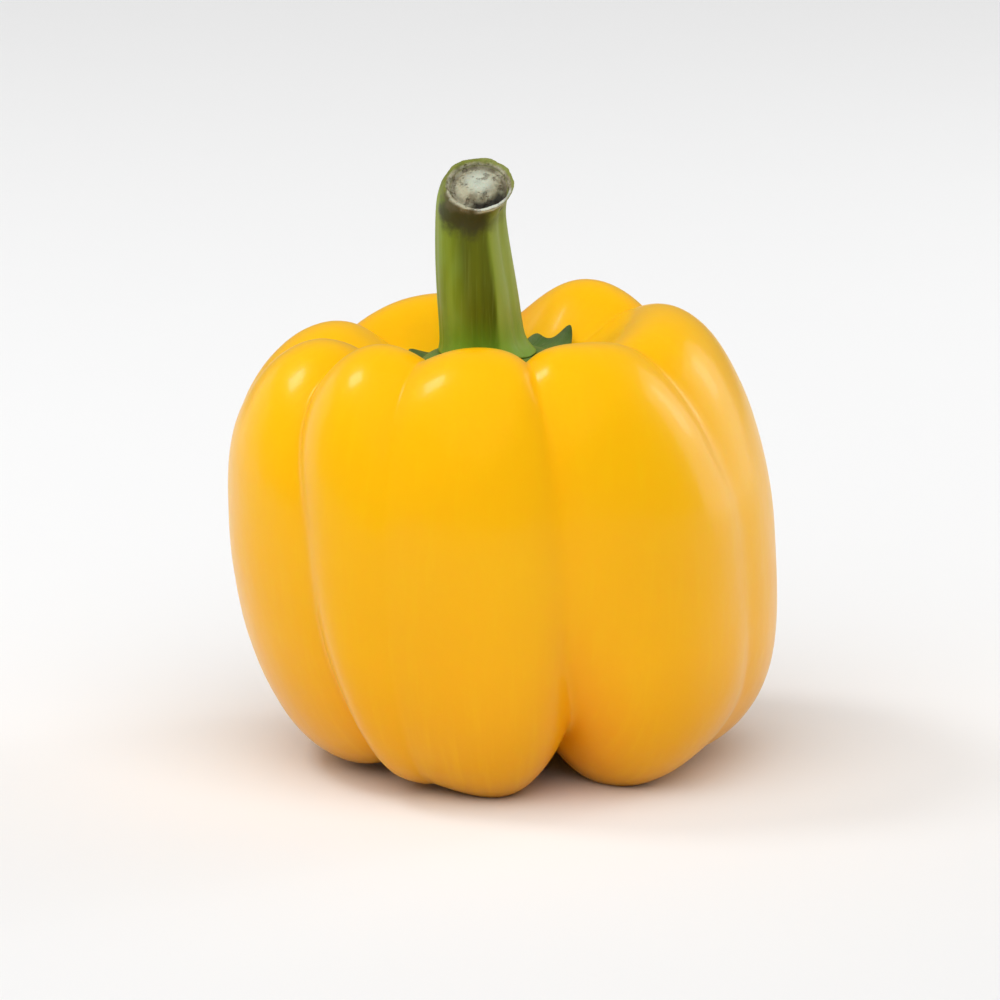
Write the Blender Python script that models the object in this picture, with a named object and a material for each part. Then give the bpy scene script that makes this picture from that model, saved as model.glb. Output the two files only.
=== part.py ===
"""A blocky yellow sweet pepper as picked: the fruit, the calyx in its crown and the stem on the calyx.

Z is up, -Y is the front, and the ground is at Z = 0. Lengths are in millimetres until MM makes them
metres. Angles are in degrees, from the front round towards +X. A share of a surface's path runs from 0
at the blossom end, under the fruit, to 1 at the middle of the crown.
"""

import math
from collections import namedtuple

import bmesh
import bpy
from mathutils import Matrix, Vector
from mathutils.bvhtree import BVHTree

MM = 0.001

# Driving dimensions of the fruit
WAIST_RADIUS = 46.0
SHOULDER_HEIGHT = 77.5
FOOT_FLAT = 0.45  # how much of each lobe's foot is pressed flat where the pepper stands

# The outside of a typical lobe: shares of the waist radius and of the shoulder height
PROFILE = (
    (0.10, 0.125),
    (0.24, 0.100),
    (0.37, 0.035),
    (0.50, -0.005),
    (0.64, -0.005),
    (0.80, 0.040),
    (0.935, 0.140),
    (1.000, 0.280),
    (1.010, 0.430),
    (1.010, 0.580),
    (0.985, 0.730),
    (0.920, 0.865),
    (0.800, 0.965),
    (0.650, 1.010),
    (0.510, 0.985),
    (0.400, 0.920),
    (0.280, 0.862),
    (0.150, 0.838),
)
BLOSSOM_END = 0.130  # height of the middle of the underside, as a share of the shoulder height
CROWN_FLOOR = 0.835  # height of the middle of the crown

# A furrow between two lobes: its angle and its depth under the fruit, at the waist and at the crown,
# and how narrow it is there
Furrow = namedtuple(
    "Furrow",
    "foot_angle waist_angle crown_angle foot_depth waist_depth crown_depth narrowness",
    defaults=(2,),
)
# The lobe that follows a furrow: its reach as a share of a typical lobe's, low, at the waist and high,
# how far it stands above the typical shoulder, and how far its foot is lifted
Lobe = namedtuple("Lobe", "low waist high shoulder lift")

FRUIT_PLAN = (
    (Furrow(24, 15, 11, 11.5, 3.4, 3.2, 4), Lobe(1.06, 1.01, 1.00, -2.2, -0.5)),
    (Furrow(68, 66, 50, 2.6, 1.7, 3.2), Lobe(1.08, 1.03, 0.97, 0.0, -0.3)),
    (Furrow(124, 122, 124, 6.5, 3.0, 4.5), Lobe(1.00, 1.00, 1.00, 0.6, -0.4)),
    (Furrow(178, 176, 171, 2.0, 0.8, 6.0), Lobe(0.97, 0.99, 0.98, -2.3, -0.4)),
    (Furrow(232, 231, 233, 6.0, 2.6, 4.5), Lobe(0.90, 0.98, 1.02, -4.6, 0.5)),
    (Furrow(268, 270, 268, 1.5, 0.8, 3.0), Lobe(0.90, 0.98, 1.03, -4.2, 1.5)),
    (Furrow(322, 316, 302, 4.5, 2.2, 4.5), Lobe(0.95, 0.98, 1.00, -2.6, 1.7)),
    (Furrow(339, 337, 335, 1.2, 1.0, 3.0), Lobe(0.96, 1.00, 1.00, -1.9, -0.5)),
)
# Shares of the path from the blossom end to the crown where furrows and lobes take their stated values
FOOT_SHARE, LOW_SHARE, WAIST_SHARE, HIGH_SHARE, CROWN_SHARE = 0.22, 0.30, 0.50, 0.68, 0.78
FURROW_END_SHARE = 0.95
# Shares of the shoulder height over which a lobe's own shoulder fades in, and its lifted foot fades out
SHOULDER_FROM, SHOULDER_FULL, LIFT_UNTIL = 0.45, 0.95, 0.45
# Places across half a lobe where its cage has columns, from the furrow to the lobe's ridge
LOBE_COLUMNS = (0.0, 0.25, 0.62, 1.0, 0.62, 0.25)
CREASE_FOOT, CREASE_WAIST, CREASE_CROWN = 0.45, 0.25, 0.55

# Calyx: a cap with a flat seat under the stem and pointed teeth lying against the lobes
CALYX_GAP = 0.5
CALYX_THICKNESS = 1.5
CALYX_RIM_THICKNESS = 0.9
CALYX_TEETH = 7
CALYX_REACH = 14.6  # from the stem's foot to the bays between the teeth
TOOTH_REACH = 3.4
FIRST_TOOTH_ANGLE = 25.0
TOOTH_SHAPE = (1.0, 0.5, 0.12, 0.0, 0.12, 0.5)  # columns from one tip to the next
SEAT_RADII = (4.0, 9.6)
SLOPE_SHARES = (0.35, 0.7, 1.0)  # rings between the seat and the rim

# Stem: stations up its middle (x, y, height above its foot), radius, and tilt towards the front
STEM_FOOT = 69.0
Station = namedtuple("Station", "x y height radius tilt")
STEM_STATIONS = (
    Station(-1.0, 0.2, 0.0, 8.9, 0),
    Station(-1.5, 0.2, 1.1, 7.8, 0),
    Station(-2.1, 0.1, 2.8, 7.05, 0),
    Station(-2.45, 0.0, 5.6, 6.85, 1),
    Station(-2.95, -0.1, 10.5, 6.7, 2),
    Station(-3.6, -0.3, 16.5, 6.3, 4),
    Station(-4.0, -0.8, 21.7, 5.85, 7),
    Station(-4.1, -1.8, 25.2, 5.7, 16),
    Station(-3.7, -3.2, 27.9, 5.85, 28),
    Station(-2.9, -4.6, 29.7, 6.0, 40),
)
STEM_SIDES = 30
STEM_RIBS = 6
RIB_DEPTH = 0.3
SCAR_RADIUS = 4.4
SCAR_DEPTH = 0.8


def smooth(share):
    """An even start and an even end between 0 and 1."""
    share = min(1.0, max(0.0, share))
    return share * share * (3 - 2 * share)


def eased(keys, at):
    """The value at a place between keys of (place, value), with an easy run from each to the next."""
    for (start, low), (end, high) in zip(keys, keys[1:]):
        if at <= end:
            return low + (high - low) * smooth((at - start) / (end - start))
    return keys[-1][1]


def metres(*lengths):
    return Vector(lengths) * MM


def polar(radius, angle, height):
    """A point in millimetres at an angle from the front."""
    turn = math.radians(angle)
    return (radius * math.sin(turn), -radius * math.cos(turn), height)


def material(name, colour, roughness):
    made = bpy.data.materials.new(name)
    made.use_nodes = True
    shader = made.node_tree.nodes["Principled BSDF"]
    shader.inputs["Base Color"].default_value = (*colour, 1)
    shader.inputs["Roughness"].default_value = roughness
    shader.inputs["Metallic"].default_value = 0.0
    return made


def object_from(mesh_builder, name, look):
    mesh = bpy.data.meshes.new(name)
    bmesh.ops.recalc_face_normals(mesh_builder, faces=mesh_builder.faces)
    mesh_builder.to_mesh(mesh)
    mesh_builder.free()
    mesh.materials.append(look)
    mesh.shade_smooth()
    made = bpy.data.objects.new(name, mesh)
    bpy.context.scene.collection.objects.link(made)
    return made


def subdivide(target, levels):
    modifier = target.modifiers.new("Subdivision", "SUBSURF")
    modifier.levels = levels
    modifier.render_levels = levels


def path_shares():
    """How far each row of the profile lies along a lobe's surface."""
    points = [(0.0, BLOSSOM_END), *PROFILE, (0.0, CROWN_FLOOR)]
    lengths = [
        math.hypot((b[0] - a[0]) * WAIST_RADIUS, (b[1] - a[1]) * SHOULDER_HEIGHT)
        for a, b in zip(points, points[1:])
    ]
    return [sum(lengths[: i + 1]) / sum(lengths) for i in range(len(PROFILE))]


def profile_normals():
    """The way out of the flesh at each row, across and up."""
    points = [(0.0, BLOSSOM_END), *PROFILE, (0.0, CROWN_FLOOR)]
    normals = []
    for before, after in zip(points, points[2:]):
        across = (after[0] - before[0]) * WAIST_RADIUS
        up = (after[1] - before[1]) * SHOULDER_HEIGHT
        normals.append((up / math.hypot(across, up), -across / math.hypot(across, up)))
    return normals


def furrow_angle(furrow, share):
    keys = (
        (FOOT_SHARE, furrow.foot_angle),
        (WAIST_SHARE, furrow.waist_angle),
        (CROWN_SHARE, furrow.crown_angle),
    )
    return eased(keys, share)


def furrow_falloff(furrow, share):
    """The power by which a furrow fades over its lobes: its own in the crown, and 2 below the waist."""
    return eased(((WAIST_SHARE, 2), (CROWN_SHARE, furrow.narrowness)), max(share, WAIST_SHARE))


def along_furrow(share, at_foot, at_waist, at_crown):
    """A value that furrows have at three places, and that fades out at both ends of the path."""
    keys = (
        (0.0, 0.0),
        (FOOT_SHARE, at_foot),
        (WAIST_SHARE, at_waist),
        (CROWN_SHARE, at_crown),
        (FURROW_END_SHARE, 0.0),
    )
    return eased(keys, share)


def lobe_reach(lobe, share):
    keys = ((0.0, 1.0), (LOW_SHARE, lobe.low), (WAIST_SHARE, lobe.waist), (HIGH_SHARE, lobe.high), (1.0, 1.0))
    return eased(keys, share)


def mixed_lobe(own, neighbour, place):
    """A lobe's own values at its ridge, half its neighbour's at the furrow."""
    weight = 0.5 + 0.5 * smooth(place)
    return Lobe(*(a * weight + b * (1 - weight) for a, b in zip(own, neighbour)))


def cage_point(lobe, share, row, normal, angle, pull):
    """A point of the cage on a lobe, pulled so far into the flesh by a furrow."""
    radius_share, height_share = PROFILE[row]
    radius = radius_share * WAIST_RADIUS * lobe_reach(lobe, share)
    height = height_share * SHOULDER_HEIGHT
    risen = smooth((height_share - SHOULDER_FROM) / (SHOULDER_FULL - SHOULDER_FROM))
    lifted = smooth((LIFT_UNTIL - height_share) / LIFT_UNTIL)
    away_from_middle = smooth(2 * radius_share)
    height += (lobe.shoulder * risen + lobe.lift * lifted) * away_from_middle
    return polar(radius - normal[0] * pull, angle, height - normal[1] * pull)


def cage_row(row, share, normal):
    """The points round one row of the fruit's cage, lobe by lobe."""
    points = []
    for i, (furrow, lobe) in enumerate(FRUIT_PLAN):
        following, lobe_after = FRUIT_PLAN[(i + 1) % len(FRUIT_PLAN)]
        lobe_before = FRUIT_PLAN[i - 1][1]
        start = furrow_angle(furrow, share)
        width = (furrow_angle(following, share) - start) % 360
        for column, place in enumerate(LOBE_COLUMNS):
            first_half = column <= len(LOBE_COLUMNS) // 2
            near = furrow if first_half else following
            neighbour = lobe_before if first_half else lobe_after
            across = place / 2 if first_half else 1 - place / 2
            depth = along_furrow(share, near.foot_depth, near.waist_depth, near.crown_depth)
            blend = mixed_lobe(lobe, neighbour, place)
            pull = depth * (1 - place) ** furrow_falloff(near, share)
            points.append(cage_point(blend, share, row, normal, start + width * across, pull))
    return points


def fruit_cage():
    """The lobed body as a coarse cage of rings, closed at the blossom end and the crown."""
    cage = bmesh.new()
    crease = cage.edges.layers.float.new("crease_edge")
    shares, normals = path_shares(), profile_normals()
    rings = [
        [cage.verts.new(metres(*point)) for point in cage_row(row, shares[row], normals[row])]
        for row in range(len(PROFILE))
    ]
    for lower, upper in zip(rings, rings[1:]):
        for i in range(len(lower)):
            j = (i + 1) % len(lower)
            cage.faces.new((lower[i], lower[j], upper[j], upper[i]))
    for ring, height in ((rings[0], BLOSSOM_END), (rings[-1], CROWN_FLOOR)):
        pole = cage.verts.new(metres(0, 0, height * SHOULDER_HEIGHT))
        for i in range(len(ring)):
            cage.faces.new((ring[i], ring[(i + 1) % len(ring)], pole))
    for row in range(len(rings) - 1):
        sharpness = along_furrow(shares[row], CREASE_FOOT, CREASE_WAIST, CREASE_CROWN)
        for i in range(0, len(rings[row]), len(LOBE_COLUMNS)):
            cage.edges.get((rings[row][i], rings[row + 1][i]))[crease] = sharpness
    return cage


def evaluated(target):
    return target.evaluated_get(bpy.context.evaluated_depsgraph_get())


def extent(target):
    """The lowest and the highest corner of the box round an object as its modifiers leave it."""
    points = [vertex.co for vertex in evaluated(target).to_mesh().vertices]
    return (Vector(pick(point[i] for point in points) for i in range(3)) for pick in (min, max))


def ground_cutter():
    """A block under the ground, wider than the fruit."""
    side = 4 * WAIST_RADIUS * MM
    block = bmesh.new()
    bmesh.ops.create_cube(block, size=side)
    cutter = object_from(block, "ground_cutter", None)
    cutter.location.z = -side / 2
    cutter.hide_render = True
    cutter.display_type = "WIRE"
    return cutter


def make_fruit():
    """The lobed body, standing on small flats where its feet are pressed to the ground."""
    fruit = object_from(fruit_cage(), "fruit", material("yellow_skin", (1.0, 0.52, 0.02), 0.25))
    subdivide(fruit, 1)
    bpy.context.view_layer.update()
    lowest, _ = extent(fruit)
    fruit.data.transform(Matrix.Translation((0, 0, -lowest.z - FOOT_FLAT * MM)))
    feet = fruit.modifiers.new("Feet", "BOOLEAN")
    feet.operation = "DIFFERENCE"
    feet.object = ground_cutter()
    return fruit


def crown_point(fruit_tree, radius, angle, above):
    """A point in millimetres over the stem's foot, so far above the fruit's skin."""
    foot = STEM_STATIONS[0]
    x, y, _ = polar(radius, angle, 0)
    x, y = x + foot.x, y + foot.y
    skin, *_ = fruit_tree.ray_cast(metres(x, y, 2 * SHOULDER_HEIGHT), Vector((0, 0, -1)))
    return (x, y, skin.z / MM + above)


def calyx_columns(fruit_tree):
    """The points of each column of the calyx, from under its middle out to the rim and back over it."""
    seat = STEM_FOOT - CALYX_GAP
    columns = []
    for i in range(CALYX_TEETH * len(TOOTH_SHAPE)):
        angle = FIRST_TOOTH_ANGLE + 360 * i / (CALYX_TEETH * len(TOOTH_SHAPE))
        rim = CALYX_REACH + TOOTH_REACH * TOOTH_SHAPE[i % len(TOOTH_SHAPE)]
        radii = [*SEAT_RADII, *(SEAT_RADII[-1] + (rim - SEAT_RADII[-1]) * share for share in SLOPE_SHARES)]
        under = [crown_point(fruit_tree, radius, angle, CALYX_GAP) for radius in radii]
        over = [(x, y, seat) for x, y, _ in under[: len(SEAT_RADII)]]
        for x, y, z in under[len(SEAT_RADII) : -1]:
            over.append((x, y, max(seat, z + CALYX_THICKNESS)))
        x, y, z = under[-1]
        over.append((x, y, z + CALYX_RIM_THICKNESS))
        columns.append([metres(*point) for point in under + over[::-1]])
    return columns


def make_calyx(fruit_tree):
    cap = bmesh.new()
    columns = [[cap.verts.new(point) for point in column] for column in calyx_columns(fruit_tree)]
    for near, far in zip(columns, columns[1:] + columns[:1]):
        for i in range(len(near) - 1):
            cap.faces.new((near[i], far[i], far[i + 1], near[i + 1]))
    foot = STEM_STATIONS[0]
    for end, height in ((0, crown_point(fruit_tree, 0, 0, CALYX_GAP)[2]), (-1, STEM_FOOT - CALYX_GAP)):
        middle = cap.verts.new(metres(foot.x, foot.y, height))
        for near, far in zip(columns, columns[1:] + columns[:1]):
            cap.faces.new((near[end], far[end], middle))
    calyx = object_from(cap, "calyx", material("calyx_green", (0.08, 0.16, 0.05), 0.6))
    subdivide(calyx, 1)
    return calyx


def stem_ring(station, radius, rib, sunk):
    """The points round the stem at a station, ribbed, and sunk along the stem below the station."""
    tilt = math.radians(station.tilt)
    middle = Vector((station.x, station.y, STEM_FOOT + station.height))
    middle -= sunk * Vector((0, -math.sin(tilt), math.cos(tilt)))
    points = []
    for i in range(STEM_SIDES):
        turn = 2 * math.pi * i / STEM_SIDES
        out = radius + rib * math.cos(STEM_RIBS * turn)
        across = Vector((math.cos(turn), math.sin(turn) * math.cos(tilt), math.sin(turn) * math.sin(tilt)))
        points.append((middle + out * across) * MM)
    return points


def make_stem():
    """The ribbed stem, flared at its foot and bent to the front, with a dished scar on its cut end."""
    body = bmesh.new()
    first, last = STEM_STATIONS[0], STEM_STATIONS[-1]
    rings = [stem_ring(first, first.radius / 2, 0, 0)]
    rings += [stem_ring(station, station.radius, RIB_DEPTH, 0) for station in STEM_STATIONS[:-1]]
    rings.append(stem_ring(last, last.radius, 0, 0))
    rings.append(stem_ring(last, SCAR_RADIUS, 0, 0))
    rings.append(stem_ring(last, SCAR_RADIUS / 2, 0, SCAR_DEPTH))
    loops = [[body.verts.new(point) for point in ring] for ring in rings]
    for lower, upper in zip(loops, loops[1:]):
        for i in range(STEM_SIDES):
            j = (i + 1) % STEM_SIDES
            body.faces.new((lower[i], lower[j], upper[j], upper[i]))
    for loop in (loops[0], loops[-1]):
        middle = body.verts.new(sum((vertex.co for vertex in loop), Vector()) / STEM_SIDES)
        for i in range(STEM_SIDES):
            body.faces.new((loop[i], loop[(i + 1) % STEM_SIDES], middle))
    stem = object_from(body, "stem", material("stem_green", (0.22, 0.30, 0.05), 0.5))
    subdivide(stem, 1)
    return stem


def clear_scene():
    for old in list(bpy.data.objects):
        bpy.data.objects.remove(old)


def main():
    clear_scene()
    fruit = make_fruit()
    bpy.context.view_layer.update()
    fruit_tree = BVHTree.FromObject(fruit, bpy.context.evaluated_depsgraph_get())
    pieces = [fruit, make_calyx(fruit_tree), make_stem()]
    lowest, highest = extent(fruit)
    pepper = bpy.data.objects.new("pepper", None)
    bpy.context.scene.collection.objects.link(pepper)
    pepper.location = (-(lowest.x + highest.x) / 2, -(lowest.y + highest.y) / 2, 0)
    for piece in pieces:
        piece.parent = pepper


main()
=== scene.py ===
import math
from collections import namedtuple

import bmesh
import bpy
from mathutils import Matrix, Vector, noise


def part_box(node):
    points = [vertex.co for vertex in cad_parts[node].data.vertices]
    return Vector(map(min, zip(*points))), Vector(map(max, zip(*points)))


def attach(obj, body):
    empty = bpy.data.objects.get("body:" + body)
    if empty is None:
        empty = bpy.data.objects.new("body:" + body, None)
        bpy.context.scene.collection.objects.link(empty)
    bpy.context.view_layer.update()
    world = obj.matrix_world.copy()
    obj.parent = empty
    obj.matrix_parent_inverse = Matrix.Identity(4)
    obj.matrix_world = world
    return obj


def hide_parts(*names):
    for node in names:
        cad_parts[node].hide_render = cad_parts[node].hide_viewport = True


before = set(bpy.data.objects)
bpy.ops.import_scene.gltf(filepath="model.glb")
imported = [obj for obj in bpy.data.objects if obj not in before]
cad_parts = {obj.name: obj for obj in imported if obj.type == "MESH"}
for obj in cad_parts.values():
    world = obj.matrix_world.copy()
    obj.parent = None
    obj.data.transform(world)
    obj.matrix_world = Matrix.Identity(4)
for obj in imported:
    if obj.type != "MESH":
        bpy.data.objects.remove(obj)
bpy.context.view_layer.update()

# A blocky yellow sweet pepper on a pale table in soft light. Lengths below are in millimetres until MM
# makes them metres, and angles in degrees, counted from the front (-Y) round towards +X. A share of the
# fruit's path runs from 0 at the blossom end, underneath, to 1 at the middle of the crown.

MM = 0.001

# Fruit: the outside of a typical lobe, in shares of the waist's radius and of the shoulder's height
WAIST_RADIUS = 46.0
SHOULDER_HEIGHT = 77.5
PROFILE = (
    (0.10, 0.125),
    (0.24, 0.100),
    (0.37, 0.035),
    (0.50, -0.005),
    (0.64, -0.005),
    (0.80, 0.040),
    (0.935, 0.140),
    (1.000, 0.280),
    (1.010, 0.430),
    (1.010, 0.580),
    (0.985, 0.730),
    (0.920, 0.865),
    (0.800, 0.965),
    (0.650, 1.010),
    (0.510, 0.985),
    (0.400, 0.920),
    (0.280, 0.862),
    (0.150, 0.838),
)
BLOSSOM_END, CROWN_FLOOR = 0.130, 0.835

# A furrow: its angle and depth under the fruit, at the waist and at the crown, and how narrow it is there.
# The lobe after it: its reach low, at the waist and high, how far its shoulder stands up, and how far its
# foot is lifted
Furrow = namedtuple(
    "Furrow",
    "foot_angle waist_angle crown_angle foot_depth waist_depth crown_depth narrowness",
    defaults=(2,),
)
Lobe = namedtuple("Lobe", "low waist high shoulder lift")
FRUIT_PLAN = (
    (Furrow(24, 15, 11, 11.5, 3.4, 3.2, 4), Lobe(1.06, 1.01, 1.00, -1.9, -0.5)),
    (Furrow(68, 66, 50, 2.6, 1.7, 3.2), Lobe(1.08, 1.03, 0.97, 0.0, -0.3)),
    (Furrow(124, 122, 124, 6.5, 3.0, 4.5), Lobe(1.00, 1.00, 1.00, 0.6, -0.4)),
    (Furrow(178, 176, 171, 2.0, 0.8, 6.0), Lobe(0.97, 0.99, 0.98, -2.3, -0.4)),
    (Furrow(232, 231, 233, 6.0, 2.6, 4.5), Lobe(0.90, 0.98, 1.02, -4.6, 0.5)),
    (Furrow(268, 270, 268, 1.5, 0.8, 3.0), Lobe(0.90, 0.98, 1.03, -4.2, 1.5)),
    (Furrow(322, 316, 302, 4.5, 2.2, 4.5), Lobe(0.95, 0.98, 1.00, -2.6, 1.7)),
    (Furrow(339, 337, 335, 1.2, 1.0, 3.0), Lobe(0.96, 1.00, 1.00, -1.9, -0.5)),
)
FOOT_SHARE, LOW_SHARE, WAIST_SHARE, HIGH_SHARE, CROWN_SHARE = 0.22, 0.30, 0.50, 0.68, 0.78
FURROW_END_SHARE = 0.95
SHOULDER_FROM, SHOULDER_FULL, LIFT_UNTIL = 0.45, 0.95, 0.45
LOBE_COLUMNS = (0.0, 0.25, 0.62, 1.0, 0.62, 0.25)
CREASE_FOOT, CREASE_WAIST, CREASE_CROWN = 0.45, 0.25, 0.55
FRUIT_LEVELS = 3
DENTS = ((22.0, 0.5), (6.5, 0.10))  # size, depth

# Stem: stations up its middle, from its foot
Station = namedtuple("Station", "x y height radius tilt")
STEM_STATIONS = (
    Station(-1.0, 0.2, 0.0, 8.9, 0),
    Station(-1.5, 0.2, 1.1, 7.8, 0),
    Station(-2.1, 0.1, 2.8, 7.05, 0),
    Station(-2.45, 0.0, 5.6, 6.85, 1),
    Station(-2.95, -0.1, 10.5, 6.7, 2),
    Station(-3.6, -0.3, 16.5, 6.3, 4),
    Station(-4.0, -0.8, 21.7, 5.85, 7),
    Station(-4.1, -1.8, 25.2, 5.7, 16),
    Station(-3.6, -3.2, 27.9, 5.85, 28),
    Station(-2.6, -4.6, 29.7, 6.0, 40),
)
STEM_SIDES = 36
# Sides of the stem that stand out as ribs, or are sunk into flat faces and grooves, and by how much.
# Side 0 is at the back, 9 on the left, 18 in front and 27 on the right
STEM_RIBS = (
    (0, 0.35), (2, -0.25), (3, -0.3), (5, 0.3), (7, -0.25), (8, -0.25), (10, 0.35), (12, -0.2), (13, -0.4),
    (14, -0.25), (16, 0.35), (17, -0.1), (18, -0.35), (19, -0.2), (20, 0.25), (21, -0.45), (22, -0.25),
    (24, 0.5), (26, -0.2), (27, -0.35), (28, -0.2), (30, 0.35), (32, -0.25), (33, -0.4), (34, -0.2),
)
# Rings over the cut end: share of the end's radius, and height over the cut
ScarRing = namedtuple("ScarRing", "share height")
SCAR_RINGS = (
    ScarRing(0.97, -0.10),
    ScarRing(0.91, 0.00),
    ScarRing(0.85, -0.25),
    ScarRing(0.79, -1.00),
    ScarRing(0.72, -1.20),
    ScarRing(0.62, -0.60),
    ScarRing(0.45, -0.15),
    ScarRing(0.22, 0.05),
)
CREVICE_FROM, CREVICE_TO, CREVICE_DEPTH = 3.2, 5.0, 1.2  # from the scar's middle, and down
CRUST = ((2.6, 0.55), (0.6, 0.2))  # size, depth of lumps

# Calyx: rings out from the stem: radius, how far they share in the teeth, and the height over the
# stem's foot that their upper side is held to, with how firmly
CalyxRing = namedtuple("CalyxRing", "radius toothed height held")
CALYX_RINGS = (
    CalyxRing(4.0, 0.0, -0.5, 1.0),
    CalyxRing(7.0, 0.0, -0.4, 1.0),
    CalyxRing(8.2, 0.0, 0.2, 1.0),
    CalyxRing(9.0, 0.0, 0.7, 1.0),
    CalyxRing(10.2, 0.0, 0.5, 0.8),
    CalyxRing(11.5, 0.05, 0.0, 0.25),
    CalyxRing(12.6, 0.25, 0.0, 0.0),
    CalyxRing(13.5, 0.6, 0.0, 0.0),
    CalyxRing(14.2, 1.0, 0.0, 0.0),
)
CALYX_SIDES = 84
# A tooth: its angle, how far it reaches past the bays, and how far its tip curls up
Tooth = namedtuple("Tooth", "angle reach curl")
TEETH = (
    Tooth(24, 4.2, 0.3),
    Tooth(76, 4.2, 0.0),
    Tooth(128, 5.0, 2.5),
    Tooth(147, 1.6, 0.9),
    Tooth(181, 4.4, 0.4),
    Tooth(233, 3.8, 0.0),
    Tooth(284, 3.2, 0.0),
    Tooth(335, 4.2, 0.3),
)
TOOTH_HALF_WIDTH, TOOTH_SHARPNESS = 25.0, 2.4
CURL_WIDTH = 2.8
RIM_WAVES = 3.5
RIM_WAVE_REACH, RIM_WAVE_HEIGHT = 0.7, 0.5
RIM_THINNING = 0.55
MIDRIB_HEIGHT = 0.6
COLLAR_RADIUS, COLLAR_FADE = 8.8, 3.5
CALYX_GAP = 0.45
CALYX_THICKNESS = 1.4
DROP_HEIGHT = 40  # over the stem's foot, from where the calyx is dropped on the crown

CAMERA_RISE = 12.0
CAMERA_AIM = (-0.6, 0.0, 44.1)
CAMERA_DISTANCE = 0.9  # in metres
VIEW_WIDTH = 168.9  # across the frame, at the distance of the aim


# ---- Small tools ----


def smooth(share):
    """An even start and an even end between 0 and 1."""
    share = min(1.0, max(0.0, share))
    return share * share * (3 - 2 * share)


def eased(keys, at):
    """The value at a place between keys of (place, value), with an easy run from each to the next."""
    for (start, low), (end, high) in zip(keys, keys[1:]):
        if at <= end:
            return low + (high - low) * smooth((at - start) / (end - start))
    return keys[-1][1]


def only(piece):
    """Selects one piece and nothing else."""
    bpy.ops.object.select_all(action="DESELECT")
    piece.select_set(True)
    bpy.context.view_layer.objects.active = piece


def start_edit(piece):
    only(piece)
    bpy.ops.object.mode_set(mode="EDIT")
    bpy.ops.mesh.select_mode(type="VERT")


def end_edit():
    bpy.ops.object.mode_set(mode="OBJECT")


def pick(piece, test):
    """In edit mode, selects the points that a test of point and index accepts."""
    bpy.ops.mesh.select_all(action="DESELECT")
    body = bmesh.from_edit_mesh(piece.data)
    body.verts.ensure_lookup_table()
    for vertex in body.verts:
        vertex.select = test(vertex.co, vertex.index)
    body.select_flush(True)
    bmesh.update_edit_mesh(piece.data)


def named(name):
    """Names the piece that was added last, and hands it back."""
    piece = bpy.context.object
    piece.name = piece.data.name = name
    return piece


def apply_modifier(piece, kind, **settings):
    only(piece)
    modifier = piece.modifiers.new(kind.title(), kind)
    for key, value in settings.items():
        setattr(modifier, key, value)
    bpy.ops.object.modifier_apply(modifier=modifier.name)


def smoothed(piece, levels):
    apply_modifier(piece, "SUBSURF", levels=levels, render_levels=levels)
    bpy.ops.object.shade_smooth()


def displace(piece, size, depth, octaves, group=""):
    """Roughens a piece with soft lumps of a size, up to half of a depth in and out."""
    texture = bpy.data.textures.new("lumps", "CLOUDS")
    texture.noise_scale = size * MM
    texture.noise_depth = octaves
    apply_modifier(
        piece,
        "DISPLACE",
        texture=texture,
        texture_coords="LOCAL",
        strength=depth * MM,
        mid_level=0.5,
        vertex_group=group,
    )


def corners(piece):
    """The lowest and the highest corner of a piece's own box."""
    points = [vertex.co for vertex in piece.data.vertices]
    return [Vector(end(point[i] for point in points) for i in range(3)) for end in (min, max)]


def shift(piece, step):
    """Moves a piece's points and leaves its origin where it is."""
    start_edit(piece)
    bpy.ops.mesh.select_all(action="SELECT")
    bpy.ops.transform.translate(value=step)
    end_edit()


def store(piece, name, values, domain="POINT"):
    """Keeps a number for each point or edge, for a modifier or a material to read."""
    kept = piece.data.attributes.new(name, "FLOAT", domain)
    kept.data.foreach_set("value", values)


def outward(piece):
    """Turns every face of a closed piece outward."""
    start_edit(piece)
    bpy.ops.mesh.select_all(action="SELECT")
    bpy.ops.mesh.normals_make_consistent(inside=False)
    end_edit()


# ---- Fruit ----


def path_points():
    return [(0.0, BLOSSOM_END), *PROFILE, (0.0, CROWN_FLOOR)]


def path_shares():
    """How far each row of the profile lies along a lobe's surface."""
    points = path_points()
    lengths = [
        math.hypot((b[0] - a[0]) * WAIST_RADIUS, (b[1] - a[1]) * SHOULDER_HEIGHT)
        for a, b in zip(points, points[1:])
    ]
    return [sum(lengths[: i + 1]) / sum(lengths) for i in range(len(PROFILE))]


def profile_normals():
    """The way out of the flesh at each row, across and up."""
    points = path_points()
    normals = []
    for before, after in zip(points, points[2:]):
        across = (after[0] - before[0]) * WAIST_RADIUS
        up = (after[1] - before[1]) * SHOULDER_HEIGHT
        normals.append((up / math.hypot(across, up), -across / math.hypot(across, up)))
    return normals


def furrow_angle(furrow, share):
    keys = (
        (FOOT_SHARE, furrow.foot_angle),
        (WAIST_SHARE, furrow.waist_angle),
        (CROWN_SHARE, furrow.crown_angle),
    )
    return eased(keys, share)


def furrow_falloff(furrow, share):
    """The power by which a furrow fades over its lobes: its own in the crown, and 2 below the waist."""
    return eased(((WAIST_SHARE, 2), (CROWN_SHARE, furrow.narrowness)), max(share, WAIST_SHARE))


def along_furrow(share, at_foot, at_waist, at_crown):
    """A value that furrows have at three places, and that fades out at both ends of the path."""
    keys = (
        (0.0, 0.0),
        (FOOT_SHARE, at_foot),
        (WAIST_SHARE, at_waist),
        (CROWN_SHARE, at_crown),
        (FURROW_END_SHARE, 0.0),
    )
    return eased(keys, share)


def lobe_reach(lobe, share):
    keys = ((0.0, 1.0), (LOW_SHARE, lobe.low), (WAIST_SHARE, lobe.waist), (HIGH_SHARE, lobe.high), (1.0, 1.0))
    return eased(keys, share)


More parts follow.
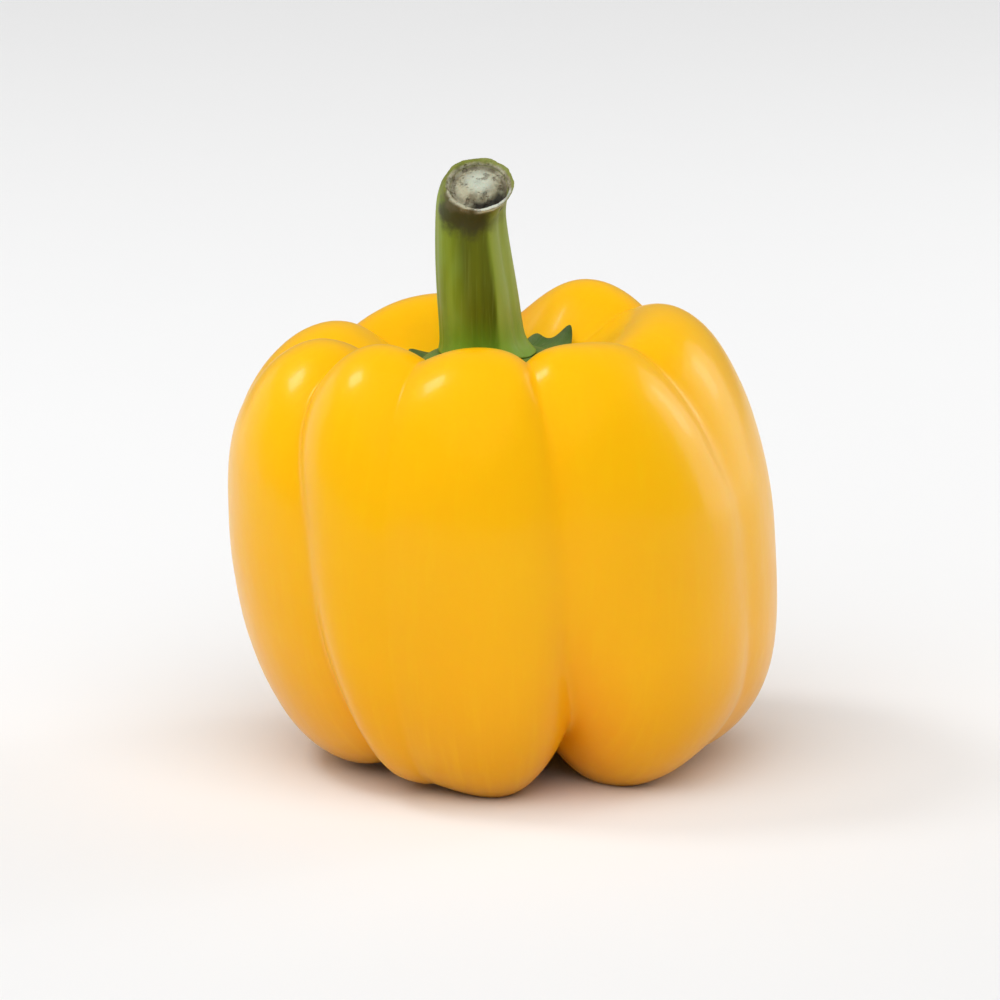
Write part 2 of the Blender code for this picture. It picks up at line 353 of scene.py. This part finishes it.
def mixed_lobe(own, neighbour, place):
    """A lobe's own values at its ridge, half its neighbour's at the furrow."""
    weight = 0.5 + 0.5 * smooth(place)
    return Lobe(*(a * weight + b * (1 - weight) for a, b in zip(own, neighbour)))


def skin_point(lobe, share, row, normal, angle, pull):
    """A point of the skin on a lobe, pulled so far into the flesh by a furrow."""
    radius_share, height_share = PROFILE[row]
    radius = radius_share * WAIST_RADIUS * lobe_reach(lobe, share) - normal[0] * pull
    risen = smooth((height_share - SHOULDER_FROM) / (SHOULDER_FULL - SHOULDER_FROM))
    lifted = smooth((LIFT_UNTIL - height_share) / LIFT_UNTIL)
    away_from_middle = smooth(2 * radius_share)
    height = height_share * SHOULDER_HEIGHT + (lobe.shoulder * risen + lobe.lift * lifted) * away_from_middle
    turn = math.radians(angle)
    return Vector((radius * math.sin(turn), -radius * math.cos(turn), height - normal[1] * pull)) * MM


def skin_row(row, share, normal):
    """The points round one row of the skin, lobe by lobe, and how deep in a furrow each one lies."""
    points, hollows = [], []
    for i, (furrow, lobe) in enumerate(FRUIT_PLAN):
        following, lobe_after = FRUIT_PLAN[(i + 1) % len(FRUIT_PLAN)]
        lobe_before = FRUIT_PLAN[i - 1][1]
        start = furrow_angle(furrow, share)
        width = (furrow_angle(following, share) - start) % 360
        for column, place in enumerate(LOBE_COLUMNS):
            first_half = column <= len(LOBE_COLUMNS) // 2
            near = furrow if first_half else following
            neighbour = lobe_before if first_half else lobe_after
            across = place / 2 if first_half else 1 - place / 2
            depth = along_furrow(share, near.foot_depth, near.waist_depth, near.crown_depth)
            pull = depth * (1 - place) ** furrow_falloff(near, share)
            blend = mixed_lobe(lobe, neighbour, place)
            points.append(skin_point(blend, share, row, normal, start + width * across, pull))
            hollows.append(pull)
    return points, hollows


def make_fruit():
    """The lobed body: a sphere whose every point is drawn to its place on a lobe, then made fine."""
    columns = len(FRUIT_PLAN) * len(LOBE_COLUMNS)
    rows = len(PROFILE)
    bpy.ops.mesh.primitive_uv_sphere_add(segments=columns, ring_count=rows + 1, radius=1)
    fruit = named("pepper_fruit")
    shares, normals = path_shares(), profile_normals()
    skin = [skin_row(row, shares[row], normals[row]) for row in range(rows)]
    places, hollows = {}, []
    for vertex in fruit.data.vertices:
        row = round((rows + 1) * (1 - math.acos(max(-1, min(1, vertex.co.z))) / math.pi)) - 1
        column = round(math.atan2(vertex.co.x, -vertex.co.y) / math.tau * columns) % columns
        if row in (-1, rows):
            height = BLOSSOM_END if row < 0 else CROWN_FLOOR
            vertex.co = (0, 0, height * SHOULDER_HEIGHT * MM)
            hollows.append(0.0)
        else:
            vertex.co = skin[row][0][column]
            hollows.append(skin[row][1][column])
            places[vertex.index] = (row, column)
    store(fruit, "hollow", hollows)
    crease_furrows(fruit, places, shares)
    smoothed(fruit, FRUIT_LEVELS)
    dent(fruit)
    low, high = corners(fruit)
    cad_low, cad_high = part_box("fruit")
    plan_shift = (cad_low + cad_high - low - high) / 2
    shift(fruit, (plan_shift.x, plan_shift.y, cad_high.z - high.z))
    start_edit(fruit)
    bpy.ops.mesh.select_all(action="SELECT")
    bpy.ops.mesh.bisect(
        plane_co=(0, 0, 0), plane_no=(0, 0, 1), use_fill=True, clear_inner=True, threshold=1e-6
    )
    end_edit()
    outward(fruit)
    return fruit, plan_shift


def crease_furrows(fruit, places, shares):
    """Sharpens the bottom of each furrow, most at the feet and in the crown."""
    creases = [0.0] * len(fruit.data.edges)
    for edge in fruit.data.edges:
        ends = [places.get(i) for i in edge.vertices]
        if None not in ends and ends[0][1] == ends[1][1] and ends[0][1] % len(LOBE_COLUMNS) == 0:
            share = shares[min(ends)[0]]
            creases[edge.index] = along_furrow(share, CREASE_FOOT, CREASE_WAIST, CREASE_CROWN)
    store(fruit, "crease_edge", creases, "EDGE")


def dent(fruit):
    """The slight unevenness of a grown skin."""
    for size, depth in DENTS:
        displace(fruit, size, depth, 1)


# ---- Stem ----


def stem_direction(station):
    tilt = math.radians(station.tilt)
    return Vector((0, -math.sin(tilt), math.cos(tilt)))


def middle_of(station, foot):
    """The middle of the stem at a station, over the middle of its foot."""
    first = STEM_STATIONS[0]
    return foot + Vector((station.x - first.x, station.y - first.y, station.height)) * MM


def drawn_on(step, grow, centre, turn=0.0):
    """Draws the selected ring on by a step, then widens it and leans it about its new middle."""
    bpy.ops.mesh.extrude_region_move(TRANSFORM_OT_translate={"value": step})
    bpy.ops.transform.resize(value=(grow, grow, grow), center_override=centre)
    if turn:
        bpy.ops.transform.rotate(value=turn, orient_axis="X", center_override=centre)


def close_ring():
    """Fills the selected ring and gives the fill a middle point."""
    bpy.ops.mesh.edge_face_add()
    bpy.ops.mesh.poke()


def make_stem(foot):
    """A ring drawn up station by station, closed over the cut end, ribbed, then made fine."""
    first, last = STEM_STATIONS[0], STEM_STATIONS[-1]
    bpy.ops.mesh.primitive_circle_add(
        vertices=STEM_SIDES, radius=first.radius * MM, location=foot, fill_type="NOTHING"
    )
    bpy.ops.object.transform_apply(location=True, rotation=True, scale=True)
    stem = named("pepper_stem")
    start_edit(stem)
    bpy.ops.mesh.select_all(action="SELECT")
    for before, after in zip(STEM_STATIONS, STEM_STATIONS[1:]):
        step = middle_of(after, foot) - middle_of(before, foot)
        turn = math.radians(before.tilt - after.tilt)
        drawn_on(step, after.radius / before.radius, middle_of(after, foot), turn)
    end, out = middle_of(last, foot), stem_direction(last)
    share, height = 1.0, 0.0
    for ring in SCAR_RINGS:
        drawn_on(out * (ring.height - height) * MM, ring.share / share, end + out * ring.height * MM)
        share, height = ring.share, ring.height
    close_ring()
    pick(stem, lambda point, index: index < STEM_SIDES)
    close_ring()
    end_edit()
    raise_ribs(stem)
    open_crevice(stem, end, out)
    outward(stem)
    mark_scar(stem, end, out)
    smoothed(stem, 3)
    crust(stem)
    return stem


def raise_ribs(stem):
    """Fattens some sides of the stem into ribs and sinks others, less and less towards the scar."""
    for ring in range(1, len(STEM_STATIONS) - 1):
        fade = min(1.0, (len(STEM_STATIONS) - 1 - ring) / 3)
        for side, height in STEM_RIBS:
            start_edit(stem)
            pick(stem, lambda point, index: index == ring * STEM_SIDES + side)
            bpy.ops.transform.shrink_fatten(value=height * fade * MM)
            end_edit()


def open_crevice(stem, end, out):
    """Sinks the front right of the hollow ring between the scar's middle and its rim."""
    start_edit(stem)

    def in_crevice(point, index):
        away = point - end
        away -= out * away.dot(out)
        on_top = index >= len(STEM_STATIONS) * STEM_SIDES
        in_ring = CREVICE_FROM * MM < away.length < CREVICE_TO * MM
        return on_top and in_ring and away.x > -MM and away.y < -0.3 * MM

    pick(stem, in_crevice)
    bpy.ops.transform.translate(value=-out * CREVICE_DEPTH * MM)
    end_edit()


def mark_scar(stem, end, out):
    """Stores where each point lies over the cut: how high, how far from its middle, to the front, to +X."""
    from_end = [(vertex.co - end) / MM for vertex in stem.data.vertices]
    above = [point.dot(out) for point in from_end]
    store(stem, "above", above)
    store(stem, "across", [(point - out * height).length for point, height in zip(from_end, above)])
    store(stem, "front", [point.dot(Vector((0, -out.z, out.y))) for point in from_end])
    store(stem, "right", [point.x for point in from_end])
    crusted = stem.vertex_groups.new(name="crusted")
    for index, height in enumerate(above):
        crusted.add([index], smooth((height + 1.5) / 1.6), "REPLACE")


def crust(stem):
    """Roughens the scar as dried sap and cork leave it."""
    for size, depth in CRUST:
        displace(stem, size, depth, 2, "crusted")


# ---- Calyx ----


def column_angle(column):
    """The angle of a column of a ring from the front round towards +X. Rings start at the back."""
    return (180 + 360 * column / CALYX_SIDES) % 360


def angle_between(angle, other):
    return abs((angle - other + 180) % 360 - 180)


def nearest_tooth(column):
    return min(TEETH, key=lambda tooth: angle_between(column_angle(column), tooth.angle))


def tooth_share(column):
    """How far a column lies out on a tooth: 1 at the tip, 0 in the bay."""
    away = angle_between(column_angle(column), nearest_tooth(column).angle)
    return max(0.0, 1 - away / TOOTH_HALF_WIDTH) ** TOOTH_SHARPNESS


def rim_wave(column):
    """A smooth unevenness of the rim, from about -1 to 1."""
    turn = math.radians(column_angle(column))
    return noise.noise(Vector((math.cos(turn), math.sin(turn), 0)) * RIM_WAVES)


def make_calyx(fruit, foot):
    """Rings drawn out round the stem's foot, toothed, laid on the crown, thickened and made fine."""
    centre = foot + Vector((0, 0, DROP_HEIGHT)) * MM
    bpy.ops.mesh.primitive_circle_add(
        vertices=CALYX_SIDES, radius=CALYX_RINGS[0].radius * MM, location=centre, fill_type="NOTHING"
    )
    bpy.ops.object.transform_apply(location=True, rotation=True, scale=True)
    calyx = named("pepper_calyx")
    start_edit(calyx)
    bpy.ops.mesh.select_all(action="SELECT")
    for ring, wider in zip(CALYX_RINGS, CALYX_RINGS[1:]):
        drawn_on((0, 0, 0), wider.radius / ring.radius, centre)
    for ring, facts in enumerate(CALYX_RINGS):
        if not facts.toothed:
            continue
        for column in range(CALYX_SIDES):
            pick(calyx, lambda point, index: index == ring * CALYX_SIDES + column)
            further = tooth_share(column) * nearest_tooth(column).reach + rim_wave(column) * RIM_WAVE_REACH
            reach = 1 + facts.toothed * further / facts.radius
            bpy.ops.transform.resize(value=(reach, reach, 1), center_override=centre)
    pick(calyx, lambda point, index: index < CALYX_SIDES)
    close_ring()
    end_edit()
    lay_on(calyx, fruit)
    raise_middle(calyx, foot)
    curl_tips(calyx)
    face_up(calyx)
    thickness = calyx.vertex_groups.new(name="thickness")
    for ring, facts in enumerate(CALYX_RINGS):
        columns = range(ring * CALYX_SIDES, (ring + 1) * CALYX_SIDES)
        thickness.add(list(columns), 1 - RIM_THINNING * facts.toothed ** 0.5, "REPLACE")
    thickness.add([len(CALYX_RINGS) * CALYX_SIDES], 1.0, "REPLACE")
    apply_modifier(
        calyx, "SOLIDIFY", thickness=CALYX_THICKNESS * MM, offset=1.0, vertex_group=thickness.name
    )
    outward(calyx)
    away = [(vertex.co.xy - foot.xy) / MM for vertex in calyx.data.vertices]
    store(calyx, "out", [point.length for point in away])
    store(calyx, "along_x", [point.x / max(point.length, 1) for point in away])
    store(calyx, "along_y", [point.y / max(point.length, 1) for point in away])
    smoothed(calyx, 2)
    return calyx


def face_up(calyx):
    if sum(face.normal.z for face in calyx.data.polygons) < 0:
        start_edit(calyx)
        bpy.ops.mesh.select_all(action="SELECT")
        bpy.ops.mesh.flip_normals()
        end_edit()


def lay_on(calyx, fruit):
    """Drops the calyx on the crown, evens it out, and pushes it clear of the skin again."""
    apply_modifier(
        calyx,
        "SHRINKWRAP",
        target=fruit,
        wrap_method="PROJECT",
        use_project_z=True,
        use_negative_direction=True,
        use_positive_direction=False,
        offset=CALYX_GAP * MM,
    )
    start_edit(calyx)
    bpy.ops.mesh.select_all(action="SELECT")
    bpy.ops.mesh.vertices_smooth(factor=0.5, repeat=4, xaxis=False, yaxis=False, zaxis=True)
    end_edit()
    apply_modifier(
        calyx,
        "SHRINKWRAP",
        target=fruit,
        wrap_method="NEAREST_SURFACEPOINT",
        wrap_mode="OUTSIDE_SURFACE",
        offset=CALYX_GAP * MM,
    )


def raise_middle(calyx, foot):
    """Holds the inner rings round the stem's foot, and lifts the teeth's midribs and the rim's waves."""
    start_edit(calyx)
    for ring, facts in enumerate(CALYX_RINGS):
        for column in range(CALYX_SIDES):
            own = ring * CALYX_SIDES + column
            pick(calyx, lambda point, index: index == own)
            held = foot.z + (facts.height - CALYX_THICKNESS) * MM
            lift = (held - chosen(calyx).z) * facts.held
            outer = smooth((facts.radius - COLLAR_RADIUS) / COLLAR_FADE)
            rib = MIDRIB_HEIGHT * MM * outer * tooth_share(column) ** 1.5
            wave = RIM_WAVE_HEIGHT * MM * outer * max(0.0, rim_wave(column))
            bpy.ops.transform.translate(value=(0, 0, lift + rib + wave))
    pick(calyx, lambda point, index: index == len(CALYX_RINGS) * CALYX_SIDES)
    held = foot.z + (CALYX_RINGS[0].height - CALYX_THICKNESS) * MM
    bpy.ops.transform.translate(value=(0, 0, held - chosen(calyx).z))
    end_edit()


def curl_tips(calyx):
    """Turns the tips of the teeth up, each by its own amount."""
    start_edit(calyx)
    rim = (len(CALYX_RINGS) - 1) * CALYX_SIDES
    for tooth in TEETH:
        column = round((tooth.angle - 180) / 360 * CALYX_SIDES) % CALYX_SIDES
        pick(calyx, lambda point, index: index == rim + column)
        bpy.ops.transform.translate(
            value=(0, 0, tooth.curl * MM),
            use_proportional_edit=True,
            proportional_edit_falloff="SMOOTH",
            proportional_size=CURL_WIDTH * MM,
        )
    end_edit()


def chosen(piece):
    """Where the one selected point of a piece is."""
    return next(v.co.copy() for v in bmesh.from_edit_mesh(piece.data).verts if v.select)


# ---- Materials ----


class Signal:
    """A shader node's output that arithmetic can be written with."""

    def __init__(self, look, socket):
        self.look, self.socket = look, socket

    def __add__(self, other):
        return self.look.maths("ADD", self, other)

    def __radd__(self, other):
        return self.look.maths("ADD", other, self)

    def __sub__(self, other):
        return self.look.maths("SUBTRACT", self, other)

    def __rsub__(self, other):
        return self.look.maths("SUBTRACT", other, self)

    def __mul__(self, other):
        return self.look.maths("MULTIPLY", self, other)



class Look:
    """A material under construction: every node comes from node()."""

    def __init__(self, name, **constants):
        self.material = bpy.data.materials.new(name)
        self.material.use_nodes = True
        self.tree = self.material.node_tree
        self.shader = self.tree.nodes["Principled BSDF"]
        self.feed(self.shader, {key.replace("_", " "): value for key, value in constants.items()})

    def feed(self, node, inputs):
        for name, value in inputs.items():
            if isinstance(value, Signal):
                self.tree.links.new(value.socket, node.inputs[name])
            else:
                node.inputs[name].default_value = value

    def node(self, kind, settings, inputs, output=0):
        """Adds a node: its settings first, then its inputs' values and links."""
        made = self.tree.nodes.new("ShaderNode" + kind)
        for key, value in settings.items():
            setattr(made, key, value)
        self.feed(made, inputs)
        return Signal(self, made.outputs[output])

    def maths(self, operation, first, second):
        return self.node("Math", {"operation": operation}, {0: first, 1: second})

    def mix(self, share, first, second):
        """A colour that goes from the first to the second as the share goes from 0 to 1."""
        return self.node("Mix", {"data_type": "RGBA"}, {0: share, 6: first, 7: second}, 2)

    def step(self, value, start, end):
        """0 below the start, 1 above the end, and smooth between them."""
        inputs = {"Value": value, "From Min": start, "From Max": end}
        return self.node("MapRange", {"interpolation_type": "SMOOTHSTEP"}, inputs)

    def attribute(self, name):
        return self.node("Attribute", {"attribute_name": name}, {}, "Fac")

    def place(self):
        """The point's own place, in millimetres."""
        point = self.node("TexCoord", {}, {}, "Object")
        return self.node("VectorMath", {"operation": "SCALE"}, {0: point, "Scale": 1 / MM})

    def part(self, place, axis):
        return self.node("SeparateXYZ", {}, {0: place}, axis)

    def stretched(self, place, factors):
        return self.node("VectorMath", {"operation": "MULTIPLY"}, {0: place, 1: factors})

    def noise(self, place, size, detail=2.0, roughness=0.5):
        """Soft noise from 0 to 1 whose lumps are about so many millimetres wide."""
        inputs = {"Vector": place, "Scale": 1 / size, "Detail": detail, "Roughness": roughness}
        return self.node("TexNoise", {}, inputs, "Fac")

    def cells(self, place, size):
        """The distance to the nearest of scattered points, which lie about so many millimetres apart."""
        return self.node("TexVoronoi", {"feature": "F1"}, {"Vector": place, "Scale": 1 / size}, "Distance")

    def bump(self, height, depth):
        """Turns a height from 0 to 1 into a normal, for a relief so many millimetres deep."""
        inputs = {"Height": height, "Distance": depth * MM, "Strength": 1.0}
        self.feed(self.shader, {"Normal": self.node("Bump", {}, inputs)})

    def finish(self, colour, roughness, piece):
        self.feed(self.shader, {"Base Color": colour, "Roughness": roughness})
        piece.data.materials.clear()
        piece.data.materials.append(self.material)


def paint_fruit(fruit):
    """Waxy yellow skin with faint streaks and pale pores. It is yellower high up and deeper orange low down,
    partly its own tone and partly painted light and shade, with painted shade at the bottom and in the
    furrows.
    """
    look = Look(
        "yellow_pepper_skin",
        Subsurface_Weight=0.25,
        Subsurface_Radius=(1.0, 0.45, 0.08),
        Subsurface_Scale=0.004,
        Specular_IOR_Level=0.2,
        Specular_Tint=(1.0, 0.85, 0.4, 1),
        Coat_Weight=0.2,
        Coat_Roughness=0.13,
    )
    place = look.place()
    height = look.part(place, "Z")
    turned = look.node("VectorMath", {"operation": "NORMALIZE"}, {0: look.stretched(place, (1, 1, 0))})
    drawn_out = {0: turned, 1: (40, 40, 0), 2: look.stretched(place, (0, 0, 0.12))}
    round_about = look.node("VectorMath", {"operation": "MULTIPLY_ADD"}, drawn_out)
    # Painted shade in the furrows: the deeper they are, the darker and more orange the skin
    furrow_shade = look.step(look.attribute("hollow"), 1.0, 6.0)
    patches = look.noise(place, 24, 2)
    streaks = look.noise(round_about, 1.6, 3, 0.6)
    # Yellower high up and deeper orange low down, in patches: partly the skin's own tone, partly painted
    # light on the top and painted shade lower down
    upper_tone_and_light = look.step(height + (patches - 0.5) * 30, 5, 75)
    skin = look.mix(upper_tone_and_light, (0.97, 0.44, 0.001, 1), (1.0, 0.515, 0.001, 1))
    # Painted shade: the skin darkens towards the bottom, where less light falls
    painted_underside_shade = 1 - look.step(height, 1, 27)
    skin = look.mix(painted_underside_shade * 0.9, skin, (0.79, 0.355, 0.001, 1))
    skin = look.mix(furrow_shade * 0.45, skin, (0.95, 0.36, 0.002, 1))
    skin = look.mix(look.step(streaks, 0.45, 0.8) * 0.16, skin, (1.0, 0.60, 0.004, 1))
    pores = 1 - look.step(look.cells(place, 1.1), 0.06, 0.22)
    skin = look.mix(pores * 0.10, skin, (1.0, 0.62, 0.006, 1))
    sheen = look.noise(place, 9, 3)
    look.bump(look.noise(place, 4.5, 2) + look.noise(place, 0.5, 1) * 0.06, 0.10)
    look.finish(skin, 0.33 + (sheen - 0.5) * 0.10, fruit)


def paint_calyx(calyx):
    """Leathery dark green, paler round the stem and on the veins that run out from it, with pale specks."""
    look = Look("calyx_green", Specular_IOR_Level=0.3, Subsurface_Weight=0.08, Subsurface_Scale=0.002)
    place = look.place()
    out = look.attribute("out")
    axes = {"X": look.attribute("along_x") * 30, "Y": look.attribute("along_y") * 30, "Z": out * 0.15}
    round_about = look.node("CombineXYZ", {}, axes)
    patches = look.noise(place, 5, 3)
    specks = look.noise(place, 0.7, 2)
    veins = look.noise(round_about, 3.2, 3, 0.6)
    green = look.mix(look.step(patches, 0.3, 0.7), (0.050, 0.10, 0.022, 1), (0.100, 0.165, 0.032, 1))
    near_stem = 1 - look.step(out + (patches - 0.5) * 5 + (veins - 0.5) * 9, 8.5, 15.0)
    green = look.mix(near_stem * 0.75, green, (0.145, 0.25, 0.045, 1))
    green = look.mix(look.step(veins, 0.52, 0.72) * 0.45, green, (0.20, 0.27, 0.08, 1))
    green = look.mix(look.step(specks, 0.62, 0.8) * 0.4, green, (0.25, 0.26, 0.10, 1))
    look.bump(look.noise(place, 1.4, 3) * 0.5 + specks * 0.2 + veins, 0.35)
    look.finish(green, 0.55 + (patches - 0.5) * 0.2, calyx)


def paint_stem(stem):
    """Green with a paler side towards +X and an olive front face, both partly painted light and shade; dark
    brown below the scar, partly dry tissue and partly painted shadow; grey-tan cork on the scar, with painted
    shade in its sunken rings and painted light on the top of its pale centre.
    """
    look = Look("stem_green", Specular_IOR_Level=0.18, Subsurface_Weight=0.08, Subsurface_Scale=0.002)
    place = look.place()
    above, across, front, right = (look.attribute(name) for name in ("above", "across", "front", "right"))
    height = look.part(place, "Z")
    sideways = look.part(place, "X") + (height - 84) * 0.105
    facing = look.step(look.part(place, "Y"), -1.0, -4.0)
    streaks = look.noise(look.stretched(place, (1, 1, 0.05)), 1.8, 2)
    fibres = look.noise(look.stretched(place, (1, 1, 0.03)), 0.4, 2)
    patches = look.noise(look.stretched(place, (1, 1, 0.4)), 5, 2)
    wavering = sideways + (streaks - 0.5) * 1.6
    green = look.mix(look.step(streaks, 0.3, 0.7), (0.19, 0.255, 0.010, 1), (0.27, 0.35, 0.028, 1))
    green = look.mix(look.step(patches, 0.42, 0.65) * 0.5, green, (0.24, 0.36, 0.055, 1))
    # A paler side towards +X: partly the stem's own colour, partly painted light from the side
    paler_side_and_light = look.step(wavering, -2.2, -1.2)
    green = look.mix(paler_side_and_light * 0.6, green, (0.33, 0.41, 0.09, 1))
    # A dark olive face in front: partly the stem's own colour, partly painted shade
    olive_face_and_shade = look.step(wavering, -9.0, -5.6) * (1 - look.step(wavering, -2.5, -1.6)) * facing
    olive = look.mix(look.step(streaks, 0.35, 0.65), (0.070, 0.084, 0.001, 1), (0.110, 0.130, 0.001, 1))
    green = look.mix(olive_face_and_shade * 0.9, green, olive)
    green = look.mix(look.step(fibres, 0.5, 0.75) * 0.16, green, (0.30, 0.36, 0.08, 1))
    foot = 1 - look.step(height + (patches - 0.5) * 6, 70, 78)
    green = look.mix(foot * 0.55, green, (0.115, 0.31, 0.02, 1))
    lumps = look.noise(place, 1.9, 3, 0.6)
    uneven = (lumps - 0.5) * 3.5
    # Dark brown below the scar in front: partly dry tissue, partly painted shadow under the scar's rim
    dried_and_shadowed = look.step(above + uneven, -6.0, -3.4) * look.step(front + uneven, 0.5, 3.5)
    dried_and_shadowed = dried_and_shadowed * (1 - look.step(right + uneven, 0.5, 3.5) * 0.65)
    green = look.mix(dried_and_shadowed * 0.9, green, (0.045, 0.042, 0.016, 1))
    stained = look.step(above + uneven, -2.0, -0.4)
    green = look.mix(stained * 0.5, green, (0.15, 0.12, 0.06, 1))
    cork = look.mix(look.step(lumps, 0.32, 0.62), (0.19, 0.16, 0.095, 1), (0.45, 0.43, 0.30, 1))
    # The cork's pale centre, set towards the scar's top: partly its own colour, partly painted light on the
    # top of the dome
    middle = 1 - look.step(across + uneven * 0.9 + front * 0.25, 0.9, 3.4)
    cork = look.mix(middle * 0.75, cork, (0.55, 0.60, 0.50, 1))
    torn = look.step(look.noise(place, 1.1, 3, 0.6), 0.55, 0.68)
    cork = look.mix(torn * 0.55, cork, (0.15, 0.11, 0.07, 1))
    # Painted shade: a dark ring where the scar's surface sinks into a trough
    ring = look.step(across + uneven * 0.12, 3.7, 4.2) * (1 - look.step(across + uneven * 0.12, 4.5, 4.9))
    cork = look.mix(ring * 0.45, cork, (0.14, 0.12, 0.09, 1))
    lip = look.step(across, 4.7, 4.95) * look.step(front, 0.5, 2.0) * look.step(right, -1.5, 0.5)
    cork = look.mix(lip * 0.8, cork, (0.62, 0.66, 0.56, 1))
    # Painted shade in the sunken crevice at the front right of the scar
    crevice_shade = look.step(across + uneven * 0.2, 3.0, 3.6) * (1 - look.step(across, 4.6, 4.8))
    crevice_shade = crevice_shade * look.step(front, 0.3, 1.3) * look.step(right, -1.5, -0.3)
    cork = look.mix(crevice_shade * 0.92, cork, (0.035, 0.032, 0.03, 1))
    rim = 5.45 + front * 0.09
    inside = 1 - look.step(across, 4.6, 5.0)
    near_cut = look.step(above, -1.1, -0.6)
    cut = near_cut + inside * (1 - near_cut)
    on_scar = look.step(rim - across + uneven * 0.2, -0.3, 0.2) * look.step(above, -3.4, -3.0) * cut
    colour = look.mix(on_scar, green, cork)
    look.bump(streaks * (1 - on_scar) * 0.3 + (lumps - torn * 0.5) * on_scar, 0.6)
    look.finish(colour, 0.50 + on_scar * 0.32, stem)


# ---- Table, light and camera ----


def make_table():
    bpy.ops.mesh.primitive_plane_add(size=8, location=(0, 0, 0))
    table = named("table")
    look = Look("pale_table", Specular_IOR_Level=0.1)
    grain = look.noise(look.place(), 60, 2)
    look.finish(look.mix(grain * 0.2, (0.87, 0.87, 0.87, 1), (0.84, 0.84, 0.845, 1)), 0.8, table)


def softbox(name, angle, rise, distance, size, glow):
    """A rectangular lamp that faces the pepper from an angle and a rise, with an even glow over its face.

    Its distance and its size are in metres.
    """
    turn, up = math.radians(angle), math.radians(rise)
    away = Vector((math.sin(turn) * math.cos(up), -math.cos(turn) * math.cos(up), math.sin(up)))
    bpy.ops.object.light_add(type="AREA", location=Vector(CAMERA_AIM) * MM + away * distance)
    lamp = bpy.context.object
    lamp.name = name
    lamp.data.shape = "RECTANGLE"
    lamp.data.size, lamp.data.size_y = size
    lamp.data.energy = glow * math.pi * size[0] * size[1]
    lamp.rotation_mode = "QUATERNION"
    lamp.rotation_quaternion = (-away).to_track_quat("-Z", "Y")


def make_light():
    """A wide light from overhead, and a softbox and a pale screen on either side."""
    bpy.ops.object.light_add(type="SUN", location=(0, 0, 1))
    overhead = bpy.context.object
    overhead.name = "overhead"
    overhead.data.energy = 2.35
    overhead.data.angle = math.radians(75)
    overhead.rotation_mode = "QUATERNION"
    overhead.rotation_quaternion = Vector((0.06, 0.62, -1)).to_track_quat("-Z", "Y")
    overhead.visible_glossy = False
    softbox("left_softbox", -99, 56, 0.9, (0.21, 0.21), 12.0)
    softbox("right_softbox", 120, 22, 1.0, (0.14, 0.30), 3.6)
    softbox("left_screen", -122, 8, 1.2, (0.9, 1.0), 0.8)
    softbox("right_screen", 120, 16, 1.1, (0.6, 0.8), 1.6)
    world = bpy.data.worlds.new("studio")
    world.use_nodes = True
    world.node_tree.nodes["Background"].inputs["Color"].default_value = (1, 1, 1, 1)
    world.node_tree.nodes["Background"].inputs["Strength"].default_value = 0.22
    bpy.context.scene.world = world
    bpy.context.scene.view_settings.view_transform = "Standard"


def make_camera():
    """Looks down on the pepper by 12 degrees from straight in front of it."""
    rise = math.radians(CAMERA_RISE)
    back = Vector((0, -math.cos(rise), math.sin(rise)))
    bpy.ops.object.camera_add(location=Vector(CAMERA_AIM) * MM + back * CAMERA_DISTANCE)
    camera = bpy.context.object
    camera.rotation_mode = "QUATERNION"
    camera.rotation_quaternion = (-back).to_track_quat("-Z", "Y")
    camera.data.sensor_width = 36
    camera.data.lens = 36 * CAMERA_DISTANCE / (VIEW_WIDTH * MM)
    camera.data.clip_start = 0.01
    bpy.context.scene.camera = camera


def main():
    fruit, plan_shift = make_fruit()
    first = STEM_STATIONS[0]
    stem_low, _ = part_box("stem")
    foot = Vector((first.x * MM + plan_shift.x, first.y * MM + plan_shift.y, stem_low.z))
    calyx = make_calyx(fruit, foot)
    stem = make_stem(foot)
    paint_fruit(fruit)
    paint_calyx(calyx)
    paint_stem(stem)
    for piece, node, slot in ((fruit, "fruit", "skin"), (calyx, "calyx", "calyx"), (stem, "stem", "stem")):
        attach(piece, "root")
        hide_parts(node)
    make_table()
    make_light()
    make_camera()


main()
